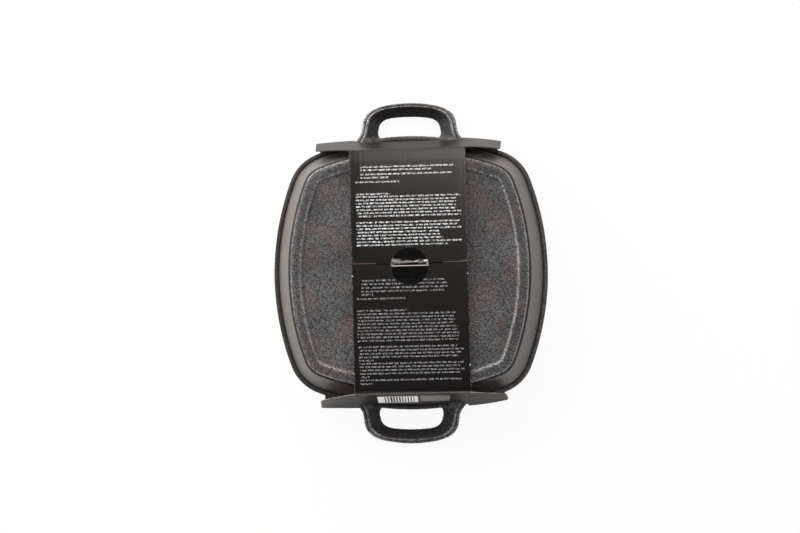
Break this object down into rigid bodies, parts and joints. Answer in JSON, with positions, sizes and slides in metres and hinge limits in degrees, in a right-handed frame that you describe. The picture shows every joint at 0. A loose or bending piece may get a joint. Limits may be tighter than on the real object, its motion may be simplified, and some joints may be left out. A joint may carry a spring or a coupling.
{
  "type": "cast iron grill pan",
  "caption": "Square cast iron grill pan with a loop handle at each end, face down in a folding card sleeve whose two back flaps meet on its base.",
  "frame": {"origin": "Bottom centre of the whole object: on the outer face of the sleeve's front panel, under the middle of the pan. The pan lies face down, as the picture shows it.", "axes": "+Z out of the pan's base, away from the cooking side; +Y towards the handle that is at the top of the picture; +X to the right of the picture."},
  "size_m": [0.267, 0.3322, 0.0516],
  "materials": {
    "cast_iron": "seasoned, satin",
    "printed_board": "charcoal print, satin, brown inside",
    "clear_film": "clear, glossy"
  },
  "bodies": {
    "pan_in_sleeve": {"pan_casting": "cast_iron", "sleeve_front_panel": "printed_board"},
    "side_upper": {"sleeve_side_panel_upper": "printed_board"},
    "side_lower": {"sleeve_side_panel_lower": "printed_board"},
    "flap_upper": {"sleeve_back_flap_upper": "printed_board", "lock_tongue": "printed_board", "seal_upper_part": "clear_film"},
    "flap_lower": {"sleeve_back_flap_lower": "printed_board", "seal_lower_part": "clear_film"}
  },
  "joints": [
    {"name": "upper_side_crease", "type": "hinge", "parent": "pan_in_sleeve", "child": "side_upper", "pos_m": [0, 0.1312, 0.0006], "axis": [-1, 0, 0], "range_deg": [0, 50]},
    {"name": "lower_side_crease", "type": "hinge", "parent": "pan_in_sleeve", "child": "side_lower", "pos_m": [0, -0.1312, 0.0006], "axis": [1, 0, 0], "range_deg": [0, 50]},
    {"name": "upper_flap_crease", "type": "hinge", "parent": "side_upper", "child": "flap_upper", "pos_m": [0, 0.11435, 0.0504], "axis": [-1, 0, 0], "range_deg": [0, 150], "deforming": ["lock_tongue"]},
    {"name": "lower_flap_crease", "type": "hinge", "parent": "side_lower", "child": "flap_lower", "pos_m": [0, -0.11435, 0.0504], "axis": [1, 0, 0], "range_deg": [0, 150]}
  ]
}
